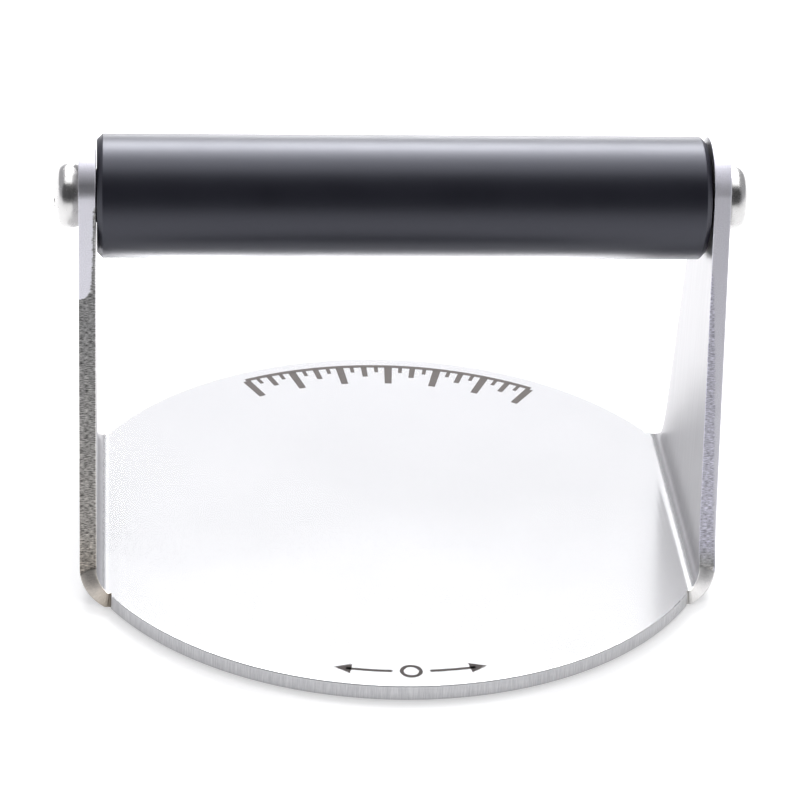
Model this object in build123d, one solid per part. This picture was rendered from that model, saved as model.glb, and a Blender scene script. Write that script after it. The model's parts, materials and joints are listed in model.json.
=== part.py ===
from build123d import *
import os
from math import atan, cos, pi, radians, sin

# Patty press: a round sheet-metal plate whose two bent-up ears carry a round grip.
# The grip is a sleeve that turns on a steel spindle, and one screw through each ear
# holds the spindle. Millimetres: +X along the grip, +Y to the back, +Z up, and the
# origin at the centre of the pressing face.

# Plate and ears
PLATE_DIAMETER = 120.0
SHEET = 3.0
EAR_GAP = 109.0               # between the ears' inner faces
BEND_RADIUS = 2.6             # inside the bend
NEUTRAL_FIBRE = 0.42          # share of the sheet's thickness, from the inside of the bend
EAR_TOP_RADIUS = 9.2
EAR_TOP_CENTRE = 69.6         # height of the rounded top's centre
EAR_TAPER = 0.225             # half width lost for each millimetre of height
ROOT_RADIUS = 30.0            # concave blend from the ear's side to the rim
ROOT_LENGTH = 15.0            # of the blend, measured on the flat blank from the bend's start
RIM_STEP = 0.8                # the rim's end stands this far proud of the bend's edge
EDGE_BREAK = 0.25             # rim chamfer, top and bottom

# Grip and spindle
AXIS_HEIGHT = 67.6
GRIP_DIAMETER = 22.0
GRIP_LENGTH = 108.4
GRIP_SHIFT = -0.1             # the sleeve lies a little to the left in its end play
GRIP_CHAMFER = 1.0
BORE_CHAMFER = 0.5
SPINDLE_DIAMETER = 10.0
RUNNING_CLEARANCE = 0.05      # radial, between sleeve and spindle
SPINDLE_CHAMFER = 0.4

# M6 screws and their holes
SCREW_DIAMETER = 6.0
SCREW_LENGTH = 12.0           # under the head
SCREW_TIP_CHAMFER = 0.8
EAR_HOLE_DIAMETER = 6.4
THREAD_CLEARANCE = 0.05       # radial, where the thread is a plain cylinder
THREAD_DEPTH = 13.0
DRILL_DIAMETER = 5.0
DRILL_DEPTH = 16.0
HEAD_RADIUS = 5.75
HEAD_HEIGHT = 4.6
HEAD_SHOULDER = 1.0           # rounding between the head's side and its crown
CROWN_HEIGHT = 1.0
BEARING_TAPER = (0.9, 0.45)   # length and depth of the taper beside the bearing face
RECESS_HALF_SPAN = 3.3        # of the cross recess, at the crown
RECESS_HALF_FOOT = 1.3
RECESS_DEPTH = 3.1
RECESS_WIDTH = 1.4
RECESS_CORE_RADIUS = 1.5

# Worked out from the above
PLATE_RADIUS = PLATE_DIAMETER / 2
EAR_INNER = EAR_GAP / 2
EAR_OUTER = EAR_INNER + SHEET
BEND_OUTER_RADIUS = BEND_RADIUS + SHEET
BEND_START = EAR_INNER - BEND_RADIUS          # X where the flat disc ends
BEND_END = SHEET + BEND_RADIUS                # Z where the flat ear begins
BEND_LENGTH = pi / 2 * (BEND_RADIUS + NEUTRAL_FIBRE * SHEET)
RIM_HALF_WIDTH = (PLATE_RADIUS**2 - BEND_START**2) ** 0.5
TAPER_ANGLE = atan(EAR_TAPER)


def straight_half_width(blank):
    """Half width of the ear's straight side, at a distance along the blank."""
    height = BEND_END + blank - BEND_LENGTH
    tangent_y = EAR_TOP_RADIUS * cos(TAPER_ANGLE)
    tangent_z = EAR_TOP_CENTRE + EAR_TOP_RADIUS * sin(TAPER_ANGLE)
    return tangent_y + EAR_TAPER * (tangent_z - height)


def half_width(blank):
    """Half width of the ear with its concave root, at a distance along the blank."""
    if blank >= ROOT_LENGTH:
        return straight_half_width(blank)
    centre_along = ROOT_LENGTH + ROOT_RADIUS * sin(TAPER_ANGLE)
    centre_across = straight_half_width(ROOT_LENGTH) + ROOT_RADIUS * cos(TAPER_ANGLE)
    return centre_across - (ROOT_RADIUS**2 - (centre_along - blank) ** 2) ** 0.5


def blank_point(blank):
    """The ear's outline point, as (Y, Z), at a distance along the blank."""
    return (half_width(blank), BEND_END + blank - BEND_LENGTH)


def flat_disc():
    """The round plate between the two bends."""
    disc = extrude(Circle(PLATE_RADIUS), SHEET)
    disc = chamfer(disc.edges(), EDGE_BREAK)
    return disc & Box(2 * BEND_START, PLATE_DIAMETER, 4 * SHEET)


def flat_ear():
    """The right ear above its bend, with its screw hole."""
    root = blank_point(BEND_LENGTH)
    root_middle = blank_point((BEND_LENGTH + ROOT_LENGTH) / 2)
    side_low = blank_point(ROOT_LENGTH)
    side_high = (
        EAR_TOP_RADIUS * cos(TAPER_ANGLE),
        EAR_TOP_CENTRE + EAR_TOP_RADIUS * sin(TAPER_ANGLE),
    )
    top_middle = (
        EAR_TOP_RADIUS * sin(radians(45)),
        EAR_TOP_CENTRE + EAR_TOP_RADIUS * cos(radians(45)),
    )
    crown = (0, EAR_TOP_CENTRE + EAR_TOP_RADIUS)
    half = [
        Line((0, BEND_END), root),
        ThreePointArc(root, root_middle, side_low),
        Line(side_low, side_high),
        ThreePointArc(side_high, top_middle, crown),
        Line(crown, (0, BEND_END)),
    ]
    outline = make_face(half)
    outline += mirror(outline, about=Plane.YZ)
    outline -= Pos(0, AXIS_HEIGHT) * Circle(EAR_HOLE_DIAMETER / 2)
    return extrude(Plane.YZ.offset(EAR_INNER) * outline, SHEET)


def bend_side_cutter(side):
    """Takes away what lies outside the blank's curved outline in the bend, on one side."""
    edges = []
    for radius in (BEND_RADIUS - 1, BEND_OUTER_RADIUS + 1):
        points = []
        for degrees in range(-10, 101, 10):
            turn = radians(degrees)
            across = half_width(BEND_LENGTH * degrees / 90)
            x = BEND_START + radius * sin(turn)
            z = BEND_END - radius * cos(turn)
            points.append((x, side * across, z))
        edges.append(Spline(points).edge())
    wall = Face.make_surface_from_curves(edges[0], edges[1])
    return Solid.extrude(wall, Vector(0, side * PLATE_RADIUS, 0))


def right_bend():
    """The quarter bend that joins the disc to the right ear."""
    corner = Pos(BEND_START, 0, BEND_END)
    along_y = Rot(90, 0, 0)
    length = 2 * (RIM_HALF_WIDTH - RIM_STEP)
    bend = corner * along_y * (
        Cylinder(BEND_OUTER_RADIUS, length) - Cylinder(BEND_RADIUS, length)
    )
    reach = 2 * BEND_OUTER_RADIUS
    quarter = corner * Pos(reach / 2, 0, -reach / 2) * Box(reach, length, reach)
    bend = bend & quarter
    for side in (-1, 1):
        bend -= bend_side_cutter(side)
    return bend


def press_plate():
    """The whole bent sheet."""
    right_side = right_bend() + flat_ear()
    return flat_disc() + right_side + mirror(right_side, about=Plane.YZ)


def along_axis(shape, x):
    """Lays a shape made along +Z on the grip's axis, pointing to +X, with its origin at x."""
    return Pos(x, 0, AXIS_HEIGHT) * Rot(0, 90, 0) * shape


def spindle():
    """The steel bar between the ears, tapped at both ends."""
    bar = Cylinder(SPINDLE_DIAMETER / 2, EAR_GAP)
    bar = chamfer(bar.edges().filter_by(GeomType.CIRCLE), SPINDLE_CHAMFER)
    thread = Cylinder(SCREW_DIAMETER / 2 + THREAD_CLEARANCE, THREAD_DEPTH)
    drill = Cylinder(DRILL_DIAMETER / 2, DRILL_DEPTH)
    for end in (-1, 1):
        bar -= Pos(0, 0, end * (EAR_GAP - THREAD_DEPTH) / 2) * thread
        bar -= Pos(0, 0, end * (EAR_GAP - DRILL_DEPTH) / 2) * drill
    return along_axis(bar, 0)


def grip():
    """The sleeve that turns on the spindle."""
    sleeve = Cylinder(GRIP_DIAMETER / 2, GRIP_LENGTH)
    sleeve = chamfer(sleeve.edges().filter_by(GeomType.CIRCLE), GRIP_CHAMFER)
    bore_radius = SPINDLE_DIAMETER / 2 + RUNNING_CLEARANCE
    sleeve -= Cylinder(bore_radius, GRIP_LENGTH)
    for end in (-1, 1):
        mouth = Cone(bore_radius, bore_radius + BORE_CHAMFER, BORE_CHAMFER)
        if end < 0:
            mouth = mirror(mouth, about=Plane.XY)
        sleeve -= Pos(0, 0, end * (GRIP_LENGTH - BORE_CHAMFER) / 2) * mouth
    return along_axis(sleeve, GRIP_SHIFT)


def cross_recess():
    """The cross recess, cut down from the crown's top at Z = 0."""
    wing = Polygon(
        (-RECESS_HALF_SPAN, 0),
        (-RECESS_HALF_FOOT, -RECESS_DEPTH),
        (RECESS_HALF_FOOT, -RECESS_DEPTH),
        (RECESS_HALF_SPAN, 0),
        align=None,
    )
    blade = extrude(Plane.XZ * wing, RECESS_WIDTH / 2, both=True)
    core = Pos(0, 0, -RECESS_DEPTH / 2) * Cone(RECESS_CORE_RADIUS / 2, RECESS_CORE_RADIUS, RECESS_DEPTH)
    return blade + Rot(0, 0, 90) * blade + core


def pan_head_screw():
    """A screw along +Z: its head's bearing face at Z = 0, the head above, the shank below."""
    taper_length, taper_depth = BEARING_TAPER
    side_top = HEAD_HEIGHT - CROWN_HEIGHT - HEAD_SHOULDER
    crown_edge = (HEAD_RADIUS - HEAD_SHOULDER, HEAD_HEIGHT - CROWN_HEIGHT)
    shoulder_middle = (
        HEAD_RADIUS - HEAD_SHOULDER * (1 - cos(radians(45))),
        side_top + HEAD_SHOULDER * sin(radians(45)),
    )
    crown_middle = (crown_edge[0] / 2, HEAD_HEIGHT - CROWN_HEIGHT / 4)
    profile = make_face([
        Line((0, 0), (HEAD_RADIUS - taper_depth, 0)),
        Line((HEAD_RADIUS - taper_depth, 0), (HEAD_RADIUS, taper_length)),
        Line((HEAD_RADIUS, taper_length), (HEAD_RADIUS, side_top)),
        ThreePointArc((HEAD_RADIUS, side_top), shoulder_middle, crown_edge),
        ThreePointArc(crown_edge, crown_middle, (0, HEAD_HEIGHT)),
        Line((0, HEAD_HEIGHT), (0, 0)),
    ])
    head = revolve(Plane.XZ * profile, Axis.Z)
    shank = Pos(0, 0, -SCREW_LENGTH / 2) * Cylinder(SCREW_DIAMETER / 2, SCREW_LENGTH)
    tip = shank.edges().filter_by(GeomType.CIRCLE).sort_by(Axis.Z)[0]
    shank = chamfer(tip, SCREW_TIP_CHAMFER)
    return head + shank - Pos(0, 0, HEAD_HEIGHT) * cross_recess()


def screw_right():
    return along_axis(pan_head_screw(), EAR_OUTER)


NODES = {
    "press_plate": press_plate(),
    "spindle": spindle(),
    "grip": grip(),
    "screw_left": mirror(screw_right(), about=Plane.YZ),
    "screw_right": screw_right(),
}

os.makedirs("parts", exist_ok=True)
for name, shape in NODES.items():
    solids = shape.solids()
    export_step(solids[0] if len(solids) == 1 else Compound(solids), f"parts/{name}.step")
    print(name, "solids", len(solids), "volume", round(shape.volume, 1))
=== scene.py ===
import json
import math

import bmesh
import bpy
import numpy as np
from mathutils import Matrix, Vector


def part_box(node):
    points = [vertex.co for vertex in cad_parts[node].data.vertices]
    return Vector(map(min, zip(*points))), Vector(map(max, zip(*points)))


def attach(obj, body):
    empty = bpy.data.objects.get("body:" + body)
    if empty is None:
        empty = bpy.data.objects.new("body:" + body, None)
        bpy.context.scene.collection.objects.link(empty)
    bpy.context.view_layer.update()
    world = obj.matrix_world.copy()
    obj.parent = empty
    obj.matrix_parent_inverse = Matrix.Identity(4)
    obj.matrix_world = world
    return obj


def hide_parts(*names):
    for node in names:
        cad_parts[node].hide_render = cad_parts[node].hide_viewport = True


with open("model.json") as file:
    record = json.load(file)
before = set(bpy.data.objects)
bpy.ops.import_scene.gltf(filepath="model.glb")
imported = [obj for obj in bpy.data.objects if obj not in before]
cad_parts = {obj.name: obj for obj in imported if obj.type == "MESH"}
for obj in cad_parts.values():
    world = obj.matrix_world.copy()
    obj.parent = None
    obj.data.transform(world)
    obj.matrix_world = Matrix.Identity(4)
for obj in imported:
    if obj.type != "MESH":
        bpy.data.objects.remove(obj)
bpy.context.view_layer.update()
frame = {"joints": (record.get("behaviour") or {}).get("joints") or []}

# A patty press: a bent sheet-steel plate, a turning black grip on a steel spindle, two screws.
# Shapes are worked out in millimetres, in the frame's own axes, and built in metres.
MM = 0.001

# Sheet and its blank, as the frame has them
PLATE_RADIUS = 60.0
SHEET = 3.0
EAR_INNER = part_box("press_plate")[1].x / MM - SHEET
EAR_OUTER = EAR_INNER + SHEET
BEND_RADIUS = 2.6
BEND_OUTER_RADIUS = BEND_RADIUS + SHEET
BEND_START = EAR_INNER - BEND_RADIUS
BEND_END = SHEET + BEND_RADIUS
BEND_LENGTH = math.pi / 2 * (BEND_RADIUS + 0.42 * SHEET)
EAR_TOP_RADIUS = 9.2
EAR_TOP_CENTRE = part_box("press_plate")[1].z / MM - EAR_TOP_RADIUS
EAR_TAPER = math.atan(0.225)
ROOT_RADIUS = 30.0
ROOT_LENGTH = 15.0
RIM_STEP = 0.8
NICK_DEPTH = 0.15
EAR_HOLE_RADIUS = 3.2
RIM_HALF_WIDTH = math.sqrt(PLATE_RADIUS**2 - BEND_START**2)

# Grip, spindle and screws
AXIS_HEIGHT = frame["joints"][0]["pos_m"][2] / MM
GRIP_LEFT, GRIP_RIGHT = (corner.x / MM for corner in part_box("grip"))
GRIP_RADIUS = (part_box("grip")[1].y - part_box("grip")[0].y) / MM / 2
BORE_RADIUS = 5.05
SPINDLE_RADIUS = 5.0
HEAD_RADIUS = 5.75
HEAD_HEIGHT = 4.6
SCREW_LENGTH = 12.0
THREAD_PITCH = 1.0
THREAD_DEPTH = 0.54
SHANK_RADIUS = 2.95

# Edges that turn by more than this stay sharp
SHARP_ANGLE = math.radians(32)

# ---------------------------------------------------------------- mesh helpers

def make_mesh(name, vertices_mm, faces):
    """A mesh object from points in millimetres, shaded smooth with sharp edges kept."""
    mesh = bpy.data.meshes.new(name)
    mesh.from_pydata((np.asarray(vertices_mm, float) * MM).tolist(), [], faces)
    skin = bmesh.new()
    skin.from_mesh(mesh)
    bmesh.ops.recalc_face_normals(skin, faces=skin.faces)
    skin.to_mesh(mesh)
    skin.free()
    mesh.shade_smooth()
    mesh.set_sharp_from_angle(angle=SHARP_ANGLE)
    piece = bpy.data.objects.new(name, mesh)
    bpy.context.scene.collection.objects.link(piece)
    return piece


def weighted_normals(piece):
    """Keeps flat faces flat beside their rounded edges."""
    modifier = piece.modifiers.new("weighted", "WEIGHTED_NORMAL")
    modifier.keep_sharp = True
    modifier.weight = 80


def apply_modifiers(piece):
    """Turns the piece's modifiers into its mesh."""
    graph = bpy.context.evaluated_depsgraph_get()
    done = bpy.data.meshes.new_from_object(piece.evaluated_get(graph), depsgraph=graph)
    piece.modifiers.clear()
    piece.data = done


def cut_away(piece, cutter):
    """Subtracts the cutter from the piece and removes it."""
    modifier = piece.modifiers.new("cut", "BOOLEAN")
    modifier.operation = "DIFFERENCE"
    modifier.solver = "EXACT"
    modifier.object = cutter
    apply_modifiers(piece)
    bpy.data.objects.remove(cutter)


def rounded_path(corners, steps=5):
    """Points along straight runs, each corner (a, b, radius) rounded with its own radius."""
    path = []
    for before, corner, after in zip(corners, corners[1:], corners[2:]):
        here = Vector(corner[:2])
        back = (Vector(before[:2]) - here).normalized()
        ahead = (Vector(after[:2]) - here).normalized()
        radius = corner[2]
        if radius == 0:
            path.append(tuple(here))
            continue
        half = back.angle(ahead) / 2
        middle = here + (back + ahead).normalized() * (radius / math.sin(half))
        start = here + back * (radius / math.tan(half)) - middle
        turn = math.pi - 2 * half
        side = math.copysign(1, back.x * ahead.y - back.y * ahead.x)
        for step in range(steps + 1):
            angle = -side * turn * step / steps
            c, s = math.cos(angle), math.sin(angle)
            path.append((middle.x + start.x * c - start.y * s, middle.y + start.x * s + start.y * c))
    return [tuple(corners[0][:2])] + path + [tuple(corners[-1][:2])]


def smooth_curve(places, radii, count):
    """Points on a smooth curve through (place, radius) knots."""
    knots = [Vector(knot) for knot in zip(places, radii)]
    knots = [2 * knots[0] - knots[1]] + knots + [2 * knots[-1] - knots[-2]]
    curve = []
    for share in np.linspace(0, len(places) - 1, count).tolist():
        first = min(int(share), len(places) - 2)
        t = share - first
        a, b, c, d = knots[first:first + 4]
        point = b + 0.5 * t * (c - a + t * (2 * a - 5 * b + 4 * c - d + t * (3 * (b - c) + d - a)))
        curve.append((point.x, min(point.y, max(radii))))
    return curve


def lathe(name, profile, segments=160, closed=False, radius_at=None):
    """Turns (x, radius) points about the grip's axis. radius_at may vary a ring's radius round the turn."""
    angles = np.linspace(0, 2 * np.pi, segments, endpoint=False)
    rings = []
    vertices = []
    for x, radius in profile:
        if radius < 1e-6:
            rings.append([len(vertices)] * segments)
            vertices.append((x, 0, AXIS_HEIGHT))
            continue
        radii = np.full(segments, radius) if radius_at is None else radius_at(x, angles, radius)
        rings.append(list(range(len(vertices), len(vertices) + segments)))
        for angle, r in zip(angles, radii):
            vertices.append((x, -r * math.sin(angle), AXIS_HEIGHT + r * math.cos(angle)))
    pairs = list(zip(rings, rings[1:]))
    if closed:
        pairs.append((rings[-1], rings[0]))
    faces = []
    for one, other in pairs:
        for i in range(segments):
            j = (i + 1) % segments
            corners = [one[i], other[i], other[j], one[j]]
            faces.append(tuple(dict.fromkeys(corners)))
    return make_mesh(name, vertices, faces)


# ---------------------------------------------------------------- the bent sheet

def straight_half_width(blank):
    """Half width of the ear's straight side at a distance along the blank from the bend's start."""
    height = BEND_END + blank - BEND_LENGTH
    tangent_y = EAR_TOP_RADIUS * math.cos(EAR_TAPER)
    tangent_z = EAR_TOP_CENTRE + EAR_TOP_RADIUS * math.sin(EAR_TAPER)
    return tangent_y + math.tan(EAR_TAPER) * (tangent_z - height)


def half_width(blank):
    """Half width of the ear at a distance along the blank from the bend's start."""
    if blank >= ROOT_LENGTH:
        return straight_half_width(blank)
    centre_along = ROOT_LENGTH + ROOT_RADIUS * math.sin(EAR_TAPER)
    centre_across = straight_half_width(ROOT_LENGTH) + ROOT_RADIUS * math.cos(EAR_TAPER)
    width = centre_across - math.sqrt(ROOT_RADIUS**2 - (centre_along - blank) ** 2)
    return min(width, RIM_HALF_WIDTH - RIM_STEP)


def blank_outline():
    """Stations along one half of the blank: (along, half width, normal along, normal across, zone)."""
    stations = []
    rim_end = math.asin(BEND_START / PLATE_RADIUS)
    for angle in np.linspace(0, rim_end, 150):
        stations.append((PLATE_RADIUS * math.sin(angle), PLATE_RADIUS * math.cos(angle),
                         math.sin(angle), math.cos(angle), "rim"))

    # The step down to the bend's edge, with a small nick at its foot
    rim_width = stations[-1][1]
    nick_floor = rim_width - RIM_STEP - NICK_DEPTH
    stations.append((BEND_START + 0.02, rim_width - 0.12, 0.9, 0.44, "rim"))
    stations.append((BEND_START + 0.04, nick_floor + NICK_DEPTH, 1.0, 0.0, "bend"))
    stations.append((BEND_START + 0.14, nick_floor, 0.3, 0.95, "bend"))
    stations.append((BEND_START + 0.36, nick_floor, -0.3, 0.95, "bend"))

    side_end = BEND_LENGTH + EAR_TOP_CENTRE + EAR_TOP_RADIUS * math.sin(EAR_TAPER) - BEND_END
    in_bend = np.linspace(0.5, BEND_LENGTH, 36)
    on_ear = np.linspace(BEND_LENGTH, side_end, 560)[1:]
    for blank in np.concatenate([in_bend, on_ear]):
        slope = (half_width(blank + 0.01) - half_width(blank - 0.01)) / 0.02
        size = math.hypot(1, slope)
        zone = "bend" if blank <= BEND_LENGTH else "ear"
        stations.append((BEND_START + blank, half_width(blank), -slope / size, 1 / size, zone))

    cap_centre = BEND_START + BEND_LENGTH + EAR_TOP_CENTRE - BEND_END
    for angle in np.linspace(EAR_TAPER, math.pi / 2, 80)[1:]:
        stations.append((cap_centre + EAR_TOP_RADIUS * math.sin(angle), EAR_TOP_RADIUS * math.cos(angle),
                         math.sin(angle), math.cos(angle), "ear"))
    return stations


def fold(along, across, up):
    """Folds points of the flat blank: along X, across Y, and up through the sheet."""
    side, reach = np.sign(along), np.abs(along)
    turn = np.clip((reach - BEND_START) / BEND_LENGTH, 0, 1) * np.pi / 2
    radius = BEND_OUTER_RADIUS - up
    past_bend = np.maximum(reach - BEND_START - BEND_LENGTH, 0)
    x = np.where(reach <= BEND_START, reach, BEND_START + radius * np.sin(turn))
    z = np.where(reach <= BEND_START, up, BEND_END - radius * np.cos(turn) + past_bend)
    return np.stack([side * x, across, z], axis=-1)


def ragged(places, pitch, seed):
    """A ragged line, 0 to 1, whose marks are about pitch apart, read off at the given places."""
    source = np.random.default_rng(seed)
    knots = np.arange(places.min() - 2 * pitch, places.max() + 3 * pitch, pitch)
    knots = knots + source.uniform(-0.35, 0.35, len(knots)) * pitch
    return np.interp(places, knots, source.random(len(knots)))


def fade(value, start, end):
    """Goes smoothly from 0 at start to 1 at end."""
    share = np.clip((value - start) / (end - start), 0, 1)
    return share * share * (3 - 2 * share)


# Tints of the cut steel: heat-stained, and cold
WARM = np.array((1.10, 1.0, 0.88))
COOL = np.array((0.97, 0.955, 1.09))

# How each ear's cut edge looks. A pair gives heights in mm and the values there, unless it says otherwise.
# smooth_reach is the share of the sheet, from its outer face, where the cut is smooth.
# Levels are brightness, and warmth goes from -1 (cool) to 1 (warm). grain is the depth of the striations,
# and crack the darkness of the fine crack at the bend.
LEFT_EDGE = {
    "smooth_reach": ((53.4, 53.9, 54.8, 57, 60, 69.5, 70.5), (-0.2, 0.42, 0.66, 0.74, 0.79, 0.88, 1.2)),
    "striated_level": ((8, 14, 40, 54), (0.42, 0.37, 0.31, 0.30)),
    "smooth_level": ((66, 71, 71.8, 73.5, 75, 76.5), (0.70, 0.68, 0.44, 0.36, 0.62, 0.85)),
    "warmth": ((6, 12, 30, 50), (0.9, 0.5, 0.25, 0.05)),
    "grain": 1.0,
    "crack": 0.75,
    # The bend's level is darker at its start, beside the nick: painted shade of the nick's corner
    "bend_level_and_nick_shade": ((0.2, 0.9, 2.4, 6), (0.25, 0.42, 0.60, 0.62)),  # along the bend
    "bend_warmth": 1.0,
}
RIGHT_EDGE = {
    "smooth_reach": ((7, 20, 30, 44, 58, 59.5), (0.10, 0.25, 0.35, 0.55, 0.85, 1.2)),
    "striated_level": ((8, 50), (0.56, 0.50)),
    "smooth_level": ((8, 50, 72, 75), (0.62, 0.58, 0.56, 0.85)),
    "warmth": ((5, 9), (0.4, -1.0)),
    "grain": 0.6,
    "crack": 0.15,
    # Darker at the bend's start, beside the nick: painted shade of the nick's corner
    "bend_level_and_nick_shade": ((0.2, 0.9, 2.4, 6), (0.45, 0.72, 0.84, 0.84)),  # along the bend
    "bend_warmth": 0.15,
}
BEND_WARMTH = ((0.2, 3, 6), (1.3, 0.75, 0.6))  # along the bend
SMOOTH_WARMTH = -0.6
RIGHT_SMOOTH_TILT = 0.35
# Colour of the painted highlight along the burr at the cut edge's inner corner
BURR_HIGHLIGHT_LEVEL = 0.95


def edge_finish(left, height, blank, from_outside, places):
    """The cut edge's colour, grain (0 smooth, 1 striated) and the tilt of its cut lines, at each place."""
    look = LEFT_EDGE if left else RIGHT_EDGE
    serration = 0.10 * (ragged(places, 0.42, 21) - 0.5) + 0.05 * (ragged(places, 0.2, 22) - 0.5)
    reach = np.interp(height, *look["smooth_reach"])
    striated = fade(from_outside - reach - serration, -0.02, 0.03)
    smooth_level = np.interp(height, *look["smooth_level"])
    level = smooth_level + (np.interp(height, *look["striated_level"]) - smooth_level) * striated
    warmth = SMOOTH_WARMTH + (np.interp(height, *look["warmth"]) - SMOOTH_WARMTH) * striated

    # The bend's edge is smooth and heat-tinted, with a fine crack where it meets the striations
    bend_line = BEND_LENGTH + 0.9 * (from_outside - 0.6)
    in_bend = fade(blank, bend_line + 0.15, bend_line - 0.15)
    crack = fade(np.abs(blank - bend_line), 0.22, 0.05) * look["crack"]
    # Darker at the bend's start, beside the nick: painted shade of the nick's corner
    bend_level_and_nick_shade = np.interp(blank, *look["bend_level_and_nick_shade"])
    bend_warmth = np.interp(blank, *BEND_WARMTH) * look["bend_warmth"]
    level = (level + (bend_level_and_nick_shade - level) * in_bend) * (1 - 0.7 * crack)
    warmth = warmth + (bend_warmth - warmth) * in_bend
    grain = look["grain"] * striated * (1 - 0.85 * in_bend)

    # A burr beside the inner face, coloured bright as a painted highlight
    burr = fade(from_outside, 0.945, 0.975) * (1 - in_bend)
    level = level + (BURR_HIGHLIGHT_LEVEL - level) * burr
    grain = grain * (1 - 0.8 * burr)

    tilt_smooth = fade(height, 73.0, 70.0) if left else RIGHT_SMOOTH_TILT
    root = fade(height, 16.0, 8.0)
    tilt = (tilt_smooth * (1 - striated) + 1.2 * root) * (1 - in_bend)
    warm_share = np.where(warmth > 0, warmth, 0)[:, None]
    cool_share = np.where(warmth < 0, -warmth, 0)[:, None]
    tint = 1 + warm_share * (WARM - 1) + cool_share * (COOL - 1)
    return level[:, None] * tint, grain, tilt


def press_lines(along, across):
    """Shallow lines the folding tool left on the upper face beside each bend, as depths."""
    reach = BEND_START - np.abs(along)
    wander = 0.04 * np.sin(across * 0.21 + 0.7)
    first = 0.005 * np.exp(-((reach - 0.9 + wander) / 0.22) ** 2)
    second = 0.003 * np.exp(-((reach - 1.9 - wander) / 0.3) ** 2)
    return first + second


class Outline:
    """The whole blank's outline from the left ear's top to the right ear's, as arrays along it."""

    def __init__(self):
        half = blank_outline()
        other_half = [(-along, width, -n_along, n_across, zone)
                      for along, width, n_along, n_across, zone in reversed(half[1:])]
        stations = other_half + half
        self.count = len(stations)
        self.along, self.width, self.n_along, self.n_across = (
            np.array([station[k] for station in stations], float) for k in range(4))
        self.on_rim = np.array([station[4] for station in stations]) == "rim"
        steps = np.hypot(np.diff(self.along), np.diff(self.width))
        self.travelled = np.concatenate([[0], np.cumsum(steps)])
        self.blank = np.abs(self.along) - BEND_START
        self.turn_share = np.clip(self.blank / BEND_LENGTH, 0, 1)
        self.height = np.where(self.turn_share >= 1, self.blank - BEND_LENGTH + BEND_END, 0)


class Skin:
    """The sheet's points as they are made, row by row, with what the materials read at each."""

    def __init__(self, outline):
        self.count = outline.count
        self.ear_share = fade(outline.turn_share, 0.1, 0.6)
        self.vertices = []
        self.tones = []
        self.grains = []
        self.tilts = []
        self.uv = []

    def add_row(self, points, uv, tone=1.0, grain=0.0, tilt=0.0):
        """Adds one row of points along the outline and gives their numbers."""
        start = len(self.vertices) * self.count
        self.vertices.append(points)
        self.uv.append(uv)
        self.tones.append(np.ones((self.count, 3)) * tone)
        self.grains.append(np.zeros(self.count) + grain)
        self.tilts.append(np.zeros(self.count) + tilt)
        return np.arange(start, start + self.count)

    def write_attributes(self, mesh):
        """Gives the mesh what its materials read: the edge's finish, the ears' share and the blank's map."""
        total = len(self.vertices) * self.count
        shade = np.ones((total, 4), np.float32)
        shade[:, :3] = np.concatenate(self.tones)
        mesh.attributes.new("edge_tone", "FLOAT_COLOR", "POINT").data.foreach_set("color", shade.ravel())
        ears = [self.ear_share] * len(self.vertices)
        for name, values in (("edge_grain", self.grains), ("edge_tilt", self.tilts), ("ear_face", ears)):
            numbers = np.concatenate(values).astype(np.float32)
            mesh.attributes.new(name, "FLOAT", "POINT").data.foreach_set("value", numbers)
        loops = np.zeros(len(mesh.loops), int)
        mesh.loops.foreach_get("vertex_index", loops)
        blank_uv = (np.concatenate(self.uv) * MM)[loops]
        mesh.uv_layers.new(name="blank").data.foreach_set("uv", blank_uv.astype(np.float32).ravel())


def edge_roundings(outline):
    """Radii of the edge's rounding at the upper and the lower face. The upper one is a ragged burr."""
    burr = 0.05 * ragged(outline.travelled, 0.33, 31)
    upper = np.where(outline.on_rim, 0.20, 0.13 + burr)
    lower = np.where(outline.on_rim, 0.42, 0.15)
    return upper, lower


def edge_profile(upper, lower, count):
    """Rows over the edge, from upper face to lower, as (inset from the outline, height in the sheet)."""
    rows = []
    quarter = np.linspace(0, np.pi / 2, 5)
    for angle in quarter:
        rows.append((upper * (1 - np.sin(angle)), SHEET - upper * (1 - np.cos(angle))))
    for share in np.linspace(0, 1, 13)[1:-1]:
        rows.append((np.zeros(count), (SHEET - upper) * (1 - share) + lower * share))
    for angle in quarter[::-1]:
        rows.append((lower * (1 - np.sin(angle)), lower * (1 - np.cos(angle))))
    return rows


def finish_both_ends(outline, from_outside):
    """The cut edge's colour, grain and tilt along the whole outline."""
    tone = np.ones((outline.count, 3))
    grain = np.zeros(outline.count)
    tilt = np.zeros(outline.count)
    for left in (True, False):
        chosen = (outline.along < 0) if left else (outline.along >= 0)
        tone[chosen], grain[chosen], tilt[chosen] = edge_finish(
            left, outline.height[chosen], outline.blank[chosen], from_outside[chosen],
            outline.travelled[chosen])
    return tone, grain, tilt


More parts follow.
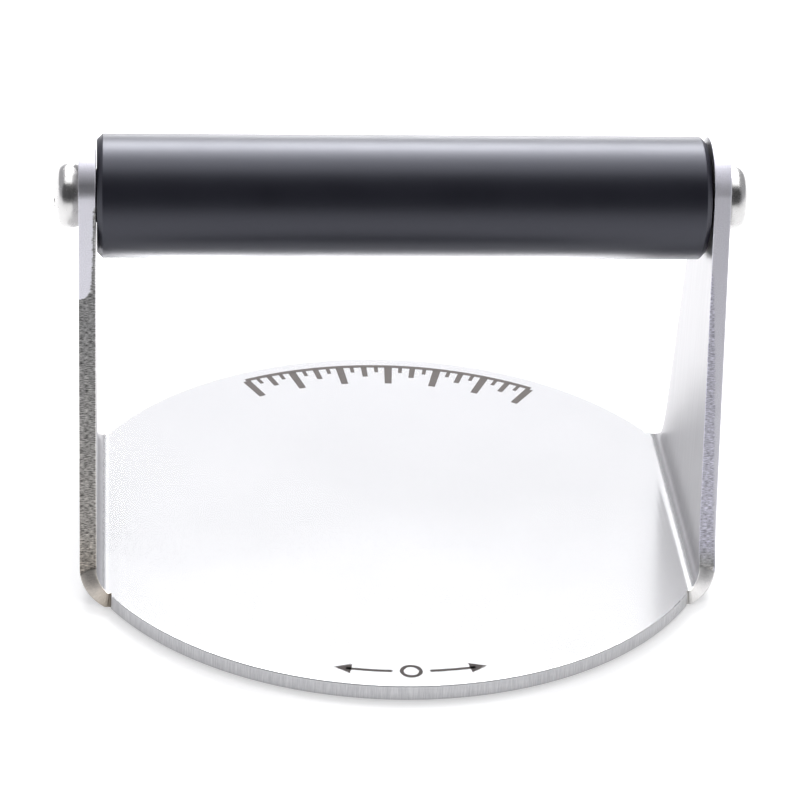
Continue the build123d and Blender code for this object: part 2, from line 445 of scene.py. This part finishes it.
def build_edge_rows(outline, skin, rows, upper, lower):
    """Both long edges of the sheet, cut marks included. Gives the numbers of each side's rows."""
    relief_bands = [ragged(outline.travelled, 0.27, seed) for seed in (41, 42, 43, 44)]
    tip_fade = np.clip(outline.width / 1.0, 0, 1)
    edge_rows = {}
    for side in (-1, 1):
        edge_rows[side] = []
        for inset, up in rows:
            from_outside = up / SHEET
            tone, grain, tilt = finish_both_ends(outline, from_outside)
            relief = np.zeros(outline.count)
            for number, band in enumerate(relief_bands):
                relief += band * np.clip(1 - np.abs(from_outside * 3 - number), 0, 1)
            wall = np.clip(np.minimum(up - lower, SHEET - upper - up) / 0.15, 0, 1)
            cut = wall * tip_fade * relief * np.where(outline.on_rim, 0.0, 0.004 + 0.026 * grain)
            bulge = 0.18 * np.sin(np.pi * outline.turn_share) * (from_outside - 0.5) * 2
            depth = inset + cut - bulge
            at = outline.along - outline.n_along * depth
            across = np.maximum(outline.width - outline.n_across * depth, 0)
            points = fold(at, side * across, up + np.zeros(outline.count))
            uv = np.stack([outline.travelled, up + np.zeros(outline.count)], axis=-1)
            edge_rows[side].append(skin.add_row(points, uv, tone, grain, tilt))
    return edge_rows


def build_face_columns(outline, skin, rows):
    """The upper and lower faces' points between the two edges, closer together beside them."""
    columns = np.cos(np.linspace(0, np.pi, 43)[1:-1])
    face_columns = {}
    for upper_face, row in ((True, 0), (False, -1)):
        inset, up = rows[row]
        at = outline.along - outline.n_along * inset
        reach = np.maximum(outline.width - outline.n_across * inset, 0)
        face_columns[upper_face] = []
        for share in columns:
            level = up - press_lines(at, share * reach) if upper_face else up
            points = fold(at, share * reach, level + np.zeros(outline.count))
            uv = np.stack([at, share * reach], axis=-1)
            face_columns[upper_face].append(skin.add_row(points, uv))
    return face_columns


def build_sheet():
    """The whole bent sheet, made on its flat blank and folded."""
    outline = Outline()
    skin = Skin(outline)
    upper, lower = edge_roundings(outline)
    rows = edge_profile(upper, lower, outline.count)
    edge_rows = build_edge_rows(outline, skin, rows, upper, lower)
    face_columns = build_face_columns(outline, skin, rows)

    strips = []
    for side in (-1, 1):
        for one, other in zip(edge_rows[side], edge_rows[side][1:]):
            strips.append((one, other, side > 0, "edge"))
    for upper_face in (True, False):
        end_row = 0 if upper_face else -1
        lines = [edge_rows[1][end_row], *face_columns[upper_face], edge_rows[-1][end_row]]
        for one, other in zip(lines, lines[1:]):
            strips.append((one, other, not upper_face, "face"))

    face_slot, rim_slot, edge_slot = 0, 1, 2
    faces = []
    slots = []
    for one, other, flip, kind in strips:
        for i in range(outline.count - 1):
            corners = (int(one[i]), int(one[i + 1]), int(other[i + 1]), int(other[i]))
            faces.append(corners[::-1] if flip else corners)
            if kind == "face":
                slots.append(face_slot)
            else:
                slots.append(rim_slot if outline.on_rim[i] and outline.on_rim[i + 1] else edge_slot)

    mesh = bpy.data.meshes.new("bent_plate")
    mesh.from_pydata((np.concatenate(skin.vertices) * MM).tolist(), [], faces)
    skin.write_attributes(mesh)
    mesh.polygons.foreach_set("material_index", slots)
    piece = bpy.data.objects.new("bent_plate", mesh)
    bpy.context.scene.collection.objects.link(piece)
    weld = piece.modifiers.new("weld", "WELD")
    weld.merge_threshold = 0.002 * MM
    apply_modifiers(piece)
    for end in (-1, 1):
        cut_away(piece, hole_cutter(end))
    piece.data.shade_smooth()
    piece.data.set_sharp_from_angle(angle=SHARP_ANGLE)
    weighted_normals(piece)
    return piece


def hole_cutter(end):
    """A plug the size of the ear's screw hole."""
    middle = end * (EAR_INNER + SHEET / 2)
    low, high = middle - SHEET, middle + SHEET
    profile = [(low, 0), (low, EAR_HOLE_RADIUS), (high, EAR_HOLE_RADIUS), (high, 0)]
    return lathe("hole_cutter", profile, segments=64)


# ---------------------------------------------------------------- grip and spindle

def build_grip():
    """The turning sleeve, its bore included."""
    chamfer, mouth, soft = 1.0, 0.5, 0.3
    corners = [
        (0, BORE_RADIUS, 0),
        (GRIP_LEFT + mouth, BORE_RADIUS, 0.1),
        (GRIP_LEFT, BORE_RADIUS + mouth, 0.1),
        (GRIP_LEFT, GRIP_RADIUS - chamfer, soft),
        (GRIP_LEFT + chamfer, GRIP_RADIUS, soft),
        (GRIP_RIGHT - chamfer, GRIP_RADIUS, soft),
        (GRIP_RIGHT, GRIP_RADIUS - chamfer, soft),
        (GRIP_RIGHT, BORE_RADIUS + mouth, 0.1),
        (GRIP_RIGHT - mouth, BORE_RADIUS, 0.1),
        (0.001, BORE_RADIUS, 0),
    ]
    piece = lathe("grip_sleeve", rounded_path(corners)[:-1], segments=256, closed=True)
    weighted_normals(piece)
    return piece


def build_spindle():
    """The steel bar inside the sleeve, with a tapped hole in each end."""
    low, high = (corner.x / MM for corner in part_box("spindle"))
    bore, drill, depth, drill_depth, chamfer = 3.05, 2.5, 13.0, 16.0, 0.4
    corners = [
        (low + drill_depth, 0, 0),
        (low + drill_depth, drill, 0),
        (low + depth, drill, 0),
        (low + depth, bore, 0),
        (low + chamfer, bore, 0.05),
        (low, bore + chamfer, 0.05),
        (low, SPINDLE_RADIUS - chamfer, 0.1),
        (low + chamfer, SPINDLE_RADIUS, 0.1),
        (high - chamfer, SPINDLE_RADIUS, 0.1),
        (high, SPINDLE_RADIUS - chamfer, 0.1),
        (high, bore + chamfer, 0.05),
        (high - chamfer, bore, 0.05),
        (high - depth, bore, 0),
        (high - depth, drill, 0),
        (high - drill_depth, drill, 0),
        (high - drill_depth, 0, 0),
    ]
    piece = lathe("spindle_bar", rounded_path(corners, steps=3), segments=96)
    weighted_normals(piece)
    return piece


# ---------------------------------------------------------------- screws

def screw_profile():
    """The screw's outline from the shank's tip to the crown's top, as (x, radius) from the bearing face."""
    tip = [(-SCREW_LENGTH, 0), (-SCREW_LENGTH, 2.1), (-SCREW_LENGTH + 0.8, SHANK_RADIUS)]
    along_thread = np.arange(-SCREW_LENGTH + 0.85, -1.0, THREAD_PITCH / 14)
    thread = [(x, SHANK_RADIUS) for x in along_thread]
    under = [(-0.95, SHANK_RADIUS), (-0.3, SHANK_RADIUS), (0, 3.1), (0, 5.2)]
    crown_rise, edge = 1.0, 4.75
    side_places = (0.0, 0.35, 0.9, 1.5, 2.1, 2.7, 3.15, 3.43, HEAD_HEIGHT - crown_rise)
    side_radii = (5.30, 5.50, 5.68, HEAD_RADIUS, 5.73, 5.56, 5.29, 5.03, edge)
    head = smooth_curve(side_places, side_radii, 26)
    crown_radius = (edge**2 + crown_rise**2) / (2 * crown_rise)
    lean = math.asin(edge / crown_radius)
    for angle in np.linspace(lean, 0, 14)[1:]:
        head.append((HEAD_HEIGHT - crown_radius * (1 - math.cos(angle)), crown_radius * math.sin(angle)))
    return tip + thread + under + head


def thread_radius(side):
    """A radius function that cuts a right-hand thread into the shank."""
    def radius_at(x, angles, radius):
        local = side * x - EAR_INNER - SHEET
        first, last = -SCREW_LENGTH + 0.8, -1.0
        if not first < local < last:
            return np.full(len(angles), radius)
        phase = (local / THREAD_PITCH + side * angles / (2 * np.pi)) % 1.0
        flank = np.clip(np.abs(phase - 0.5) * 2 * 1.35 - 0.12, 0, 1)
        run_out = min(1.0, (local - first) / 0.6, (last - local) / 0.6)
        return radius - THREAD_DEPTH * flank * run_out
    return radius_at


def recess_cutter(side):
    """A cross of two tapered wings and a core, for the drive recess."""
    core, top, foot, depth, wide = 1.46, 3.3, 1.3, 3.1, 0.72
    crown = side * (EAR_OUTER + HEAD_HEIGHT)
    corners = []
    for turn in range(4):
        c, s = math.cos(turn * math.pi / 2), math.sin(turn * math.pi / 2)
        for reach, across in ((core, -wide), (top, -wide), (top, wide), (core, wide)):
            corners.append((reach * c - across * s, reach * s + across * c, reach))
    vertices = []
    for level, scale in ((0.6, 1.25), (-depth, 0.0)):
        for y, z, reach in corners:
            shrink = 1.0
            if reach > 2 and level < 0:
                shrink = foot / top
            if reach > 2 and level > 0:
                shrink = 1 + 0.6 * (top - foot) / depth / top
            vertices.append((crown + side * level, y * shrink, AXIS_HEIGHT + z * shrink))
    count = len(corners)
    order = range(count)
    faces = [tuple(order), tuple(reversed(range(count, 2 * count)))]
    for i in order:
        j = (i + 1) % count
        faces.append((j, i, i + count, j + count))
    return make_mesh("recess_cutter", vertices, faces)


def build_screw(side, name):
    """One screw, its head outside the ear on that side."""
    profile = [(side * (EAR_OUTER + x), radius) for x, radius in screw_profile()]
    piece = lathe(name, profile, segments=96, radius_at=thread_radius(side))
    cut_away(piece, recess_cutter(side))
    bevel = piece.modifiers.new("bevel", "BEVEL")
    bevel.width = 0.07 * MM
    bevel.segments = 2
    bevel.limit_method = "ANGLE"
    bevel.angle_limit = math.radians(40)
    weighted_normals(piece)
    return piece


# ---------------------------------------------------------------- etched marks

MARK_RING_RADIUS = 55.25
MARK_TOP = SHEET + 0.012
MARK_LOW = SHEET - 0.03


def on_plate(radius, angle):
    """A point at a radius and an angle in radians from +Y, clockwise seen from above."""
    return radius * math.sin(angle), radius * math.cos(angle)


def arc_patch(centre_degrees, half_span_degrees, inner, outer, steps):
    """A patch of a ring on the plate, between two radii."""
    spans = np.radians(np.linspace(centre_degrees - half_span_degrees,
                                   centre_degrees + half_span_degrees, steps + 1))
    outside = [on_plate(outer, angle) for angle in spans]
    inside = [on_plate(inner, angle) for angle in reversed(spans)]
    return outside + inside


def graduated_arc():
    """An arc with 25 ticks of three lengths."""
    middle, half_span = 3.5, 30.0
    shapes = [arc_patch(middle, half_span, 56.2, 57.2, 60)]
    for step in range(-12, 13):
        at = middle + step * half_span / 12
        if step % 4 == 0:
            inner, wide = 49.6, 0.75
        elif step % 2 == 0:
            inner, wide = 52.4, 0.55
        else:
            inner, wide = 54.2, 0.38
        shapes.append(arc_patch(at, math.degrees(wide / 54), inner, 56.3, 2))
    return shapes


def double_arrow():
    """Two curved shafts with heads pointing apart."""
    front, tip_span, head_span = 180.0, 14.0, 3.2
    head_half_width = 1.5
    shapes = []
    for side in (-1, 1):
        shapes.append(arc_patch(front + side * 7.6, 4.2, 54.9, 55.6, 14))
        tip = math.radians(front + side * tip_span)
        base = math.radians(front + side * (tip_span - head_span))
        shapes.append([
            on_plate(MARK_RING_RADIUS, tip),
            on_plate(MARK_RING_RADIUS + head_half_width, base),
            on_plate(MARK_RING_RADIUS - head_half_width, base),
        ])
    return shapes


def add_film(vertices, faces, shape):
    """Adds a flat shape as a closed film to a list of vertices and faces."""
    start = len(vertices)
    count = len(shape)
    area = sum(x0 * y1 - x1 * y0 for (x0, y0), (x1, y1) in zip(shape, shape[1:] + shape[:1]))
    outline = shape if area > 0 else shape[::-1]
    vertices += [(x, y, MARK_TOP) for x, y in outline]
    vertices += [(x, y, MARK_LOW) for x, y in outline]
    faces.append(tuple(range(start, start + count)))
    faces.append(tuple(reversed(range(start + count, start + 2 * count))))
    for i in range(count):
        j = (i + 1) % count
        faces.append((start + j, start + i, start + i + count, start + j + count))


def add_ring(vertices, faces, centre, inner, outer, steps=40):
    """Adds a flat ring as a closed film to a list of vertices and faces."""
    start = len(vertices)
    for radius, height in ((outer, MARK_LOW), (outer, MARK_TOP), (inner, MARK_TOP), (inner, MARK_LOW)):
        for step in range(steps):
            angle = 2 * math.pi * step / steps
            x = centre[0] + radius * math.cos(angle)
            y = centre[1] + radius * math.sin(angle)
            vertices.append((x, y, height))
    for band in range(4):
        one, other = start + band * steps, start + (band + 1) % 4 * steps
        for step in range(steps):
            after = (step + 1) % steps
            faces.append((one + step, one + after, other + after, other + step))


def build_marks():
    """A graduated arc at the back and a double arrow with a ring at the front, as thin etched films."""
    vertices = []
    faces = []
    for shape in graduated_arc() + double_arrow():
        add_film(vertices, faces, shape)
    add_ring(vertices, faces, (0.0, -MARK_RING_RADIUS), 1.3, 2.0)
    return make_mesh("etched_marks", vertices, faces)


# ---------------------------------------------------------------- materials

class Nodes:
    """A material being made: its nodes, its links and its shader."""

    def __init__(self, name):
        self.material = bpy.data.materials.new(name)
        self.material.use_nodes = True
        self.tree = self.material.node_tree
        self.shader = self.tree.nodes["Principled BSDF"]

    def add(self, kind, **settings):
        node = self.tree.nodes.new(kind)
        for key, value in settings.items():
            setattr(node, key, value)
        return node

    def attribute(self, name, output="Fac"):
        """One of the mesh's own attributes."""
        return self.add("ShaderNodeAttribute", attribute_name=name).outputs[output]

    def link(self, source, target):
        self.tree.links.new(source, target)

    def set(self, **values):
        sockets = {socket.name.lower().replace(" ", "_"): socket for socket in self.shader.inputs}
        for key, value in values.items():
            sockets[key].default_value = value

    def coordinates(self, kind, scale):
        """Texture coordinates from the blank's UV map or the object, stretched by scale."""
        mapping = self.add("ShaderNodeMapping")
        mapping.inputs["Scale"].default_value = scale
        if kind == "blank":
            source = self.add("ShaderNodeUVMap", uv_map="blank").outputs["UV"]
        else:
            source = self.add("ShaderNodeTexCoord").outputs["Object"]
        self.link(source, mapping.inputs["Vector"])
        return mapping.outputs["Vector"]

    def noise(self, coordinates, scale, detail=3.0, roughness=0.5):
        node = self.add("ShaderNodeTexNoise")
        node.inputs["Scale"].default_value = scale
        node.inputs["Detail"].default_value = detail
        node.inputs["Roughness"].default_value = roughness
        self.link(coordinates, node.inputs["Vector"])
        return node.outputs["Fac"]

    def spread(self, factor, low, high, start=0.3, end=0.7):
        """Maps a factor between start and end to a number between low and high."""
        node = self.add("ShaderNodeMapRange")
        node.inputs["From Min"].default_value = start
        node.inputs["From Max"].default_value = end
        node.inputs["To Min"].default_value = low
        node.inputs["To Max"].default_value = high
        self.link(factor, node.inputs["Value"])
        return node.outputs["Result"]

    def blend(self, factor, low, high):
        """A colour between two, or between sockets."""
        node = self.add("ShaderNodeMix", data_type="RGBA")
        self.link(factor, node.inputs["Factor"])
        colour_a, colour_b = [s for s in node.inputs if s.type == "RGBA"]
        for value, socket in ((low, colour_a), (high, colour_b)):
            if isinstance(value, tuple):
                socket.default_value = (*value, 1.0)
            else:
                self.link(value, socket)
        return [s for s in node.outputs if s.type == "RGBA"][0]

    def product(self, one, other):
        node = self.add("ShaderNodeMath", operation="MULTIPLY")
        self.link(one, node.inputs[0])
        self.link(other, node.inputs[1])
        return node.outputs["Value"]

    def mix_numbers(self, factor, low, high):
        node = self.add("ShaderNodeMix", data_type="FLOAT")
        self.link(factor, node.inputs["Factor"])
        self.link(low, node.inputs["A"])
        self.link(high, node.inputs["B"])
        return node.outputs["Result"]

    def blend_multiply(self, colour, number):
        """A colour times a number."""
        node = self.add("ShaderNodeVectorMath", operation="SCALE")
        self.link(colour, node.inputs[0])
        self.link(number, node.inputs["Scale"])
        return node.outputs["Vector"]

    def bump(self, height, distance, strength=1.0, after=None):
        node = self.add("ShaderNodeBump")
        if isinstance(strength, float):
            node.inputs["Strength"].default_value = strength
        else:
            self.link(strength, node.inputs["Strength"])
        node.inputs["Distance"].default_value = distance
        self.link(height, node.inputs["Height"])
        if after is not None:
            self.link(after, node.inputs["Normal"])
        return node.outputs["Normal"]


def sheet_face_material():
    """A fine finish brushed along the blank, satin on the ears, with faint handling haze. The same steel is
    coloured lighter on the flat plate and darker on the ears: painted light and shade.
    """
    m = Nodes("brushed_sheet")
    m.set(metallic=1.0)
    ear = m.attribute("ear_face")
    grain = m.noise(m.coordinates("blank", (0.02, 1, 1)), 7000, detail=2)
    band = m.noise(m.coordinates("blank", (0.05, 1, 1)), 900, detail=2)
    haze = m.noise(m.coordinates("blank", (1, 1, 1)), 30, detail=3)
    # Painted light and shade: the flat plate's steel is coloured lighter than the same steel on the upright
    # ears
    lit_plate_tone = m.blend(m.spread(band, 0, 1), (0.735, 0.737, 0.742), (0.755, 0.755, 0.759))
    shaded_ear_tone = m.blend(m.spread(band, 0, 1), (0.53, 0.525, 0.54), (0.57, 0.565, 0.58))
    m.link(m.blend(ear, lit_plate_tone, shaded_ear_tone), m.shader.inputs["Base Color"])
    plate_gloss = m.spread(haze, 0.145, 0.155)
    ear_gloss = m.spread(grain, 0.31, 0.37)
    m.link(m.mix_numbers(ear, plate_gloss, ear_gloss), m.shader.inputs["Roughness"])
    m.link(m.bump(grain, 4.0e-7), m.shader.inputs["Normal"])
    return m.material


def rim_material():
    """The disc's ground rim: fine lines through the sheet's thickness."""
    m = Nodes("ground_rim")
    m.set(metallic=1.0)
    lines = m.noise(m.coordinates("blank", (1, 0.06, 1)), 5200, detail=2)
    patches = m.noise(m.coordinates("blank", (1, 0.5, 1)), 260, detail=3)
    tone = m.blend(m.spread(lines, 0, 1), (0.43, 0.43, 0.448), (0.575, 0.575, 0.585))
    m.link(tone, m.shader.inputs["Base Color"])
    m.link(m.spread(patches, 0.26, 0.38), m.shader.inputs["Roughness"])
    m.link(m.bump(lines, 6e-6), m.shader.inputs["Normal"])
    return m.material


def cut_edge_material():
    """The laser-cut ear edges: striated where the grain is on, brighter where the cut is smooth."""
    m = Nodes("laser_cut_edge")
    m.set(metallic=1.0)
    tone = m.attribute("edge_tone", "Color")
    grain = m.attribute("edge_grain")
    tilt = m.attribute("edge_tilt")
    lines = m.noise(m.coordinates("blank", (1, 0.24, 1)), 5000, detail=2, roughness=0.55)
    patches = m.noise(m.coordinates("blank", (1, 0.7, 1)), 700, detail=3)
    speckle = m.noise(m.coordinates("blank", (1, 1, 1)), 5200, detail=2)
    striated = m.product(m.spread(lines, 0.30, 1.78, 0.32, 0.68), m.spread(patches, 0.88, 1.12))
    smooth = m.spread(speckle, 0.9, 1.1)
    contrast = m.mix_numbers(grain, smooth, striated)
    m.link(m.blend_multiply(tone, contrast), m.shader.inputs["Base Color"])

    # The ears' round tops are rougher than their straight sides
    place = m.add("ShaderNodeSeparateXYZ")
    m.link(m.coordinates("object", (1, 1, 1)), place.inputs[0])
    on_top = m.spread(place.outputs["Z"], 0, 1, 0.0725, 0.0745)
    side_roughness = m.spread(grain, 0.44, 0.54, 0, 1)
    top_roughness = m.spread(speckle, 0.62, 0.72)
    m.link(m.mix_numbers(on_top, side_roughness, top_roughness), m.shader.inputs["Roughness"])

    # The cut's slanting steps, with its fine lines over them
    saw = m.add("ShaderNodeTexWave", wave_type="BANDS", bands_direction="Z", wave_profile="SAW")
    saw.inputs["Scale"].default_value = 900
    saw.inputs["Distortion"].default_value = 1.4
    saw.inputs["Detail"].default_value = 2.0
    saw.inputs["Detail Scale"].default_value = 1.5
    m.link(m.coordinates("object", (1, 1, 1)), saw.inputs["Vector"])
    stepped = m.bump(saw.outputs["Fac"], 5e-5, strength=tilt)
    line_strength = m.spread(grain, 0.2, 0.9, 0, 1)
    m.link(m.bump(lines, 1.0e-5, strength=line_strength, after=stepped), m.shader.inputs["Normal"])
    return m.material


def grip_material():
    """Satin black plastic with faint turning lines and handling marks."""
    m = Nodes("satin_black")
    m.set(ior=1.64, specular_tint=(0.85, 0.87, 1.0, 1.0))
    turned = m.noise(m.coordinates("object", (1, 0.01, 0.01)), 5200, detail=2)
    cloud = m.noise(m.coordinates("object", (1, 1, 1)), 90, detail=4)
    speck = m.noise(m.coordinates("object", (1, 1, 1)), 2600, detail=2)
    tone = m.blend(m.spread(cloud, 0, 1), (0.0065, 0.0065, 0.0120), (0.0090, 0.0090, 0.0155))
    m.link(tone, m.shader.inputs["Base Color"])
    total = m.add("ShaderNodeMath", operation="ADD")
    m.link(m.spread(cloud, 0.345, 0.385), total.inputs[0])
    m.link(m.spread(speck, 0.0, 0.03), total.inputs[1])
    m.link(total.outputs["Value"], m.shader.inputs["Roughness"])
    m.link(m.bump(turned, 1.0e-6), m.shader.inputs["Normal"])
    return m.material


def screw_material():
    """Polished stainless with light forging and driver marks."""
    m = Nodes("polished_screw")
    m.set(metallic=1.0)
    marks = m.noise(m.coordinates("object", (1, 1, 1)), 900, detail=4, roughness=0.65)
    stain = m.noise(m.coordinates("object", (1, 1, 1)), 260, detail=3)
    tone = m.blend(m.spread(stain, 0, 1), (0.56, 0.555, 0.55), (0.66, 0.655, 0.65))
    m.link(tone, m.shader.inputs["Base Color"])
    m.link(m.spread(marks, 0.20, 0.30), m.shader.inputs["Roughness"])
    m.link(m.bump(marks, 4e-6, 0.6), m.shader.inputs["Normal"])
    return m.material


def spindle_material():
    """Drawn steel bar."""
    m = Nodes("drawn_bar")
    m.set(metallic=1.0)
    lines = m.noise(m.coordinates("object", (0.02, 1, 1)), 3000, detail=2)
    tone = m.blend(m.spread(lines, 0, 1), (0.42, 0.42, 0.43), (0.56, 0.56, 0.57))
    m.link(tone, m.shader.inputs["Base Color"])
    m.link(m.spread(lines, 0.3, 0.42), m.shader.inputs["Roughness"])
    m.link(m.bump(lines, 3e-6), m.shader.inputs["Normal"])
    return m.material


def etch_material():
    """Laser etching: matt dark oxide, slightly brown."""
    m = Nodes("etched_oxide")
    m.set(metallic=0.0, specular_ior_level=0.3)
    grain = m.noise(m.coordinates("object", (1, 1, 1)), 5200, detail=3)
    tone = m.blend(m.spread(grain, 0, 1), (0.050, 0.042, 0.040), (0.095, 0.080, 0.075))
    m.link(tone, m.shader.inputs["Base Color"])
    m.link(m.spread(grain, 0.55, 0.75), m.shader.inputs["Roughness"])
    m.link(m.bump(grain, 5e-6, 0.7), m.shader.inputs["Normal"])
    return m.material


# ---------------------------------------------------------------- the object

plate = build_sheet()
for material in (sheet_face_material(), rim_material(), cut_edge_material()):
    plate.data.materials.append(material)
marks = build_marks()
marks.data.materials.append(etch_material())
grip = build_grip()
grip.data.materials.append(grip_material())
spindle = build_spindle()
spindle.data.materials.append(spindle_material())
steel = screw_material()
screws = {
    "screw_left": build_screw(-1, "pan_screw_left"),
    "screw_right": build_screw(1, "pan_screw_right"),
}

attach(plate, "press")
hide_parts("press_plate")
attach(marks, "press")
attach(spindle, "press")
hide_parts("spindle")
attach(grip, "turning_grip")
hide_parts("grip")
for node, screw in screws.items():
    screw.data.materials.append(steel)
    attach(screw, "press")
    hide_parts(node)


# ---------------------------------------------------------------- floor, light and camera

# Directions from the object to the studio's dark side and to its bright wall
CAMERA_SIDE = Vector((-0.14, -0.84, 0.54))
BACK_WALL = Vector((0.08, 0.86, 0.44))


def build_floor():
    """A wide pale floor that glows a little more with distance, except towards the front."""
    size, drop = 6.0, 0.0002
    mesh = bpy.data.meshes.new("floor")
    corners = [(-size, -size, -drop), (size, -size, -drop), (size, size, -drop), (-size, size, -drop)]
    mesh.from_pydata(corners, [], [(0, 1, 2, 3)])
    floor = bpy.data.objects.new("floor", mesh)
    bpy.context.scene.collection.objects.link(floor)
    m = Nodes("pale_floor")
    m.set(base_color=(0.62, 0.62, 0.625, 1), roughness=0.9, specular_ior_level=0.1)
    m.set(emission_color=(1.0, 1.0, 1.0, 1))
    place = m.coordinates("object", (1, 1, 1))
    distance = m.add("ShaderNodeVectorMath", operation="LENGTH")
    m.link(place, distance.inputs[0])
    heading = m.add("ShaderNodeVectorMath", operation="NORMALIZE")
    m.link(place, heading.inputs[0])
    heading_parts = m.add("ShaderNodeSeparateXYZ")
    m.link(heading.outputs["Vector"], heading_parts.inputs[0])
    far = m.spread(distance.outputs["Value"], 0, 1, 0.3, 2.2)
    not_front = m.spread(heading_parts.outputs["Y"], 0, 1, -0.8, -0.3)
    m.link(m.spread(m.product(far, not_front), 0.45, 0.80, 0, 1), m.shader.inputs["Emission Strength"])
    mesh.materials.append(m.material)


def build_world():
    """A white studio: bright behind, softer above, dark over the camera's side."""
    world = bpy.data.worlds.new("studio")
    bpy.context.scene.world = world
    world.use_nodes = True
    tree = world.node_tree

    def ramp(source, stops):
        """Grey levels, faintly blue, between stops of (position, level)."""
        node = tree.nodes.new("ShaderNodeValToRGB")
        elements = node.color_ramp.elements
        while len(elements) < len(stops):
            elements.new(0.5)
        for element, (position, level) in zip(elements, stops):
            element.position = position
            element.color = (level, level, level * 1.02, 1)
        tree.links.new(source, node.inputs["Fac"])
        return node.outputs["Color"]

    def mix(kind, factor, one, other):
        """Mixes two colours. Sockets 6 and 7 are the mix node's colours, and output 2 its result."""
        node = tree.nodes.new("ShaderNodeMix")
        node.data_type = "RGBA"
        node.blend_type = kind
        if isinstance(factor, float):
            node.inputs[0].default_value = factor
        else:
            tree.links.new(factor, node.inputs[0])
        tree.links.new(one, node.inputs[6])
        tree.links.new(other, node.inputs[7])
        return node.outputs[2]

    direction = tree.nodes.new("ShaderNodeTexCoord").outputs["Generated"]
    split = tree.nodes.new("ShaderNodeSeparateXYZ")
    tree.links.new(direction, split.inputs[0])

    def vector_math(kind, one, other=None):
        node = tree.nodes.new("ShaderNodeVectorMath")
        node.operation = kind
        tree.links.new(one, node.inputs[0])
        if other is not None:
            node.inputs[1].default_value = other
        return node

    def towards(target, source):
        """How nearly a direction points to a target: 1 when it does."""
        return vector_math("DOT_PRODUCT", source, target.normalized()).outputs["Value"]

    narrowed = vector_math("MULTIPLY", direction, (0.65, 1.0, 1.0)).outputs["Vector"]
    squeezed = vector_math("NORMALIZE", narrowed).outputs["Vector"]

    sides = ramp(split.outputs["Z"], [(0.0, 1.0), (0.05, 0.95), (0.13, 0.5), (0.6, 0.5), (1.0, 0.5)])
    behind = ramp(split.outputs["Z"], [(0.0, 1.0), (0.3, 1.2), (0.46, 1.18), (0.53, 0.75), (1.0, 0.6)])
    share = ramp(towards(BACK_WALL, direction), [(0.92, 0.0), (0.972, 1.0)])
    dark = ramp(towards(CAMERA_SIDE, squeezed), [(0.62, 1.0), (0.84, 0.16)])
    studio = mix("MIX", share, sides, behind)
    studio = mix("MULTIPLY", 1.0, studio, dark)
    tree.links.new(studio, tree.nodes["Background"].inputs["Color"])


def add_light(name, place, target, size, radiance):
    """A soft rectangular light, facing a target. Its power follows from its size and radiance."""
    data = bpy.data.lights.new(name, "AREA")
    data.shape = "RECTANGLE"
    data.size, data.size_y = size
    data.energy = radiance * math.pi * size[0] * size[1]
    light = bpy.data.objects.new(name, data)
    light.location = place
    light.rotation_mode = "QUATERNION"
    light.rotation_quaternion = (Vector(target) - Vector(place)).to_track_quat("-Z", "Y")
    light.visible_camera = False
    bpy.context.scene.collection.objects.link(light)


def build_camera():
    """The main view: a long lens, a little left of the middle, looking 29 degrees down."""
    place = Vector((-0.05056, -0.56756, 0.33700))
    yaw, pitch, roll = -0.0906562, -0.4991080, 0.0427737
    right = Vector((math.cos(yaw), math.sin(yaw), 0))
    level = Vector((-math.sin(yaw), math.cos(yaw), 0))
    up = Vector((0, 0, 1))
    forward = level * math.cos(pitch) + up * math.sin(pitch)
    upright = up * math.cos(pitch) - level * math.sin(pitch)
    rolled_right = right * math.cos(roll) + upright * math.sin(roll)
    rolled_up = upright * math.cos(roll) - right * math.sin(roll)
    data = bpy.data.cameras.new("camera")
    data.sensor_width = 36.0
    data.lens = 158.916
    camera = bpy.data.objects.new("camera", data)
    axes = Matrix((rolled_right, rolled_up, -forward)).transposed().to_4x4()
    camera.matrix_world = Matrix.Translation(place) @ axes
    bpy.context.scene.collection.objects.link(camera)
    bpy.context.scene.camera = camera


build_floor()
build_world()
add_light("back_softbox", (0.08, 0.80, 0.95), (0, 0, 0.03), (0.85, 0.48), 13.0)
add_light("low_strip", (0.09, 1.00, 0.19), (0.09, 0, 0.05), (0.36, 0.20), 6.5)
add_light("upper_softbox", (0.05, 0.27, 0.80), (0, 0, 0.05), (0.8, 0.26), 4.0)
add_light("top_softbox", (0.0, -0.07, 0.82), (0, 0, 0.05), (0.9, 0.40), 1.6)
build_camera()
bpy.context.scene.view_settings.view_transform = "Standard"
bpy.context.scene.view_settings.look = "None"
